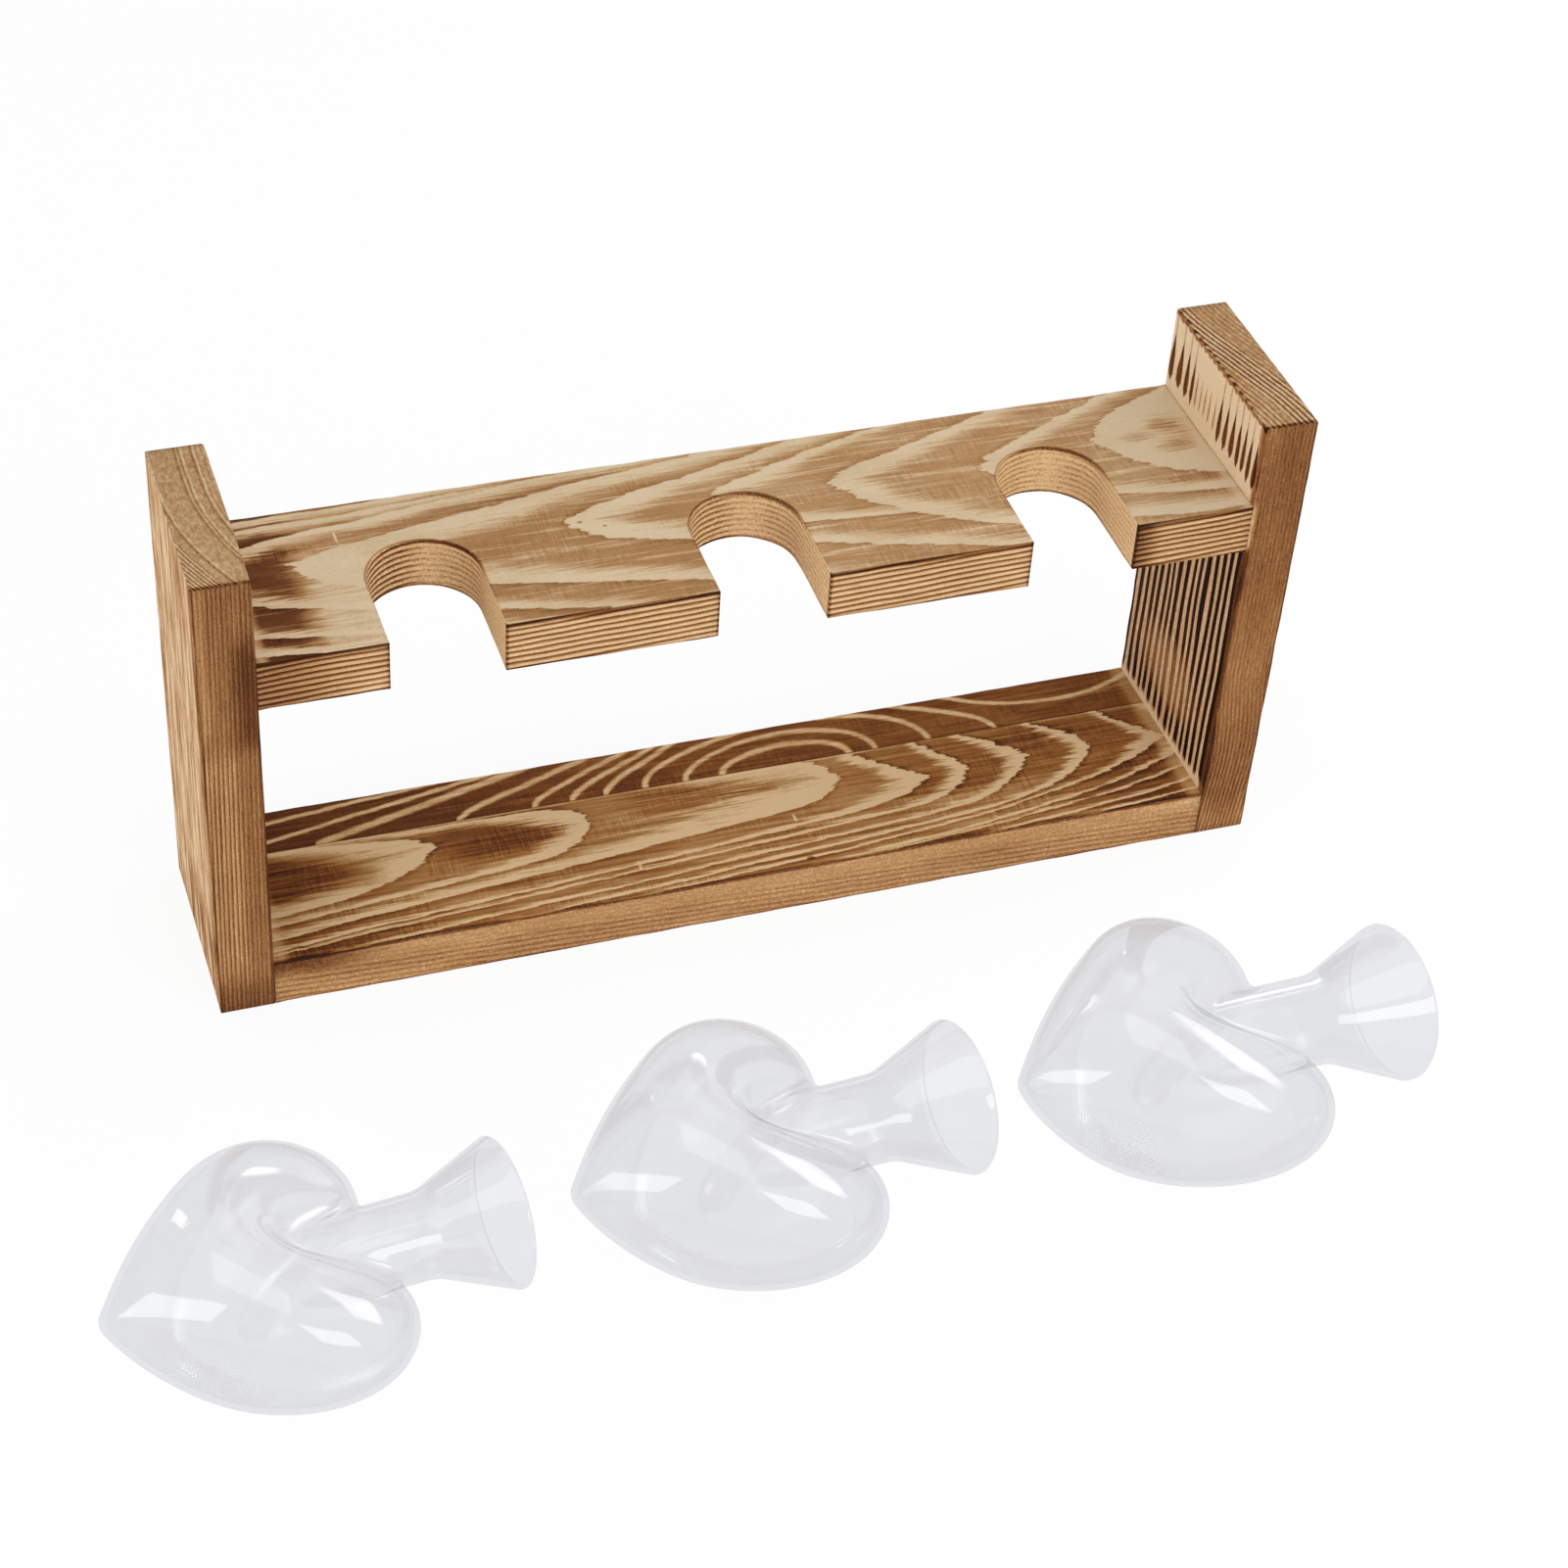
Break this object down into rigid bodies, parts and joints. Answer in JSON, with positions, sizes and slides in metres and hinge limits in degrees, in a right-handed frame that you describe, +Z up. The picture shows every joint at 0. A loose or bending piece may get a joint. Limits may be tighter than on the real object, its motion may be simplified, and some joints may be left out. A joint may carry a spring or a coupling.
{
  "type": "glass vase set with rack",
  "caption": "Heart-shaped clear glass vases with flared mouths, and a scorched pine rack whose slotted shelf holds them by their necks.",
  "frame": {"origin": "middle of the rack's underside, on the surface that everything stands on", "axes": "+X along the rack to its right end, +Y towards its back, +Z up"},
  "size_m": [0.351, 0.2117, 0.142],
  "materials": {
    "end_board_pine": "scorched and brushed pine, dull",
    "shelf_pine": "lightly scorched pine, dull",
    "base_pine": "deeply scorched pine, dull",
    "dowel_beech": "plain beech",
    "clear_glass": "clear blown glass, fire-polished rim"
  },
  "bodies": {
    "rack": {"left_end_board": "end_board_pine", "right_end_board": "end_board_pine", "slotted_shelf": "shelf_pine", "base_front_strip": "base_pine", "base_rear_strip": "base_pine", "shelf_dowel_left_front": "dowel_beech", "shelf_dowel_left_rear": "dowel_beech", "shelf_dowel_right_front": "dowel_beech", "shelf_dowel_right_rear": "dowel_beech", "base_dowel_left_front": "dowel_beech", "base_dowel_left_rear": "dowel_beech", "base_dowel_right_front": "dowel_beech", "base_dowel_right_rear": "dowel_beech"},
    "left_vase": {"left_vase": "clear_glass"},
    "middle_vase": {"middle_vase": "clear_glass"},
    "right_vase": {"right_vase": "clear_glass"}
  },
  "joints": [
    {"name": "left_vase_lift", "type": "slide", "parent": "rack", "child": "left_vase", "axis": [0, 0, 1], "range_m": [0, 0.16]},
    {"name": "middle_vase_lift", "type": "slide", "parent": "rack", "child": "middle_vase", "axis": [0, 0, 1], "range_m": [0, 0.16]},
    {"name": "right_vase_lift", "type": "slide", "parent": "rack", "child": "right_vase", "axis": [0, 0, 1], "range_m": [0, 0.16]}
  ]
}
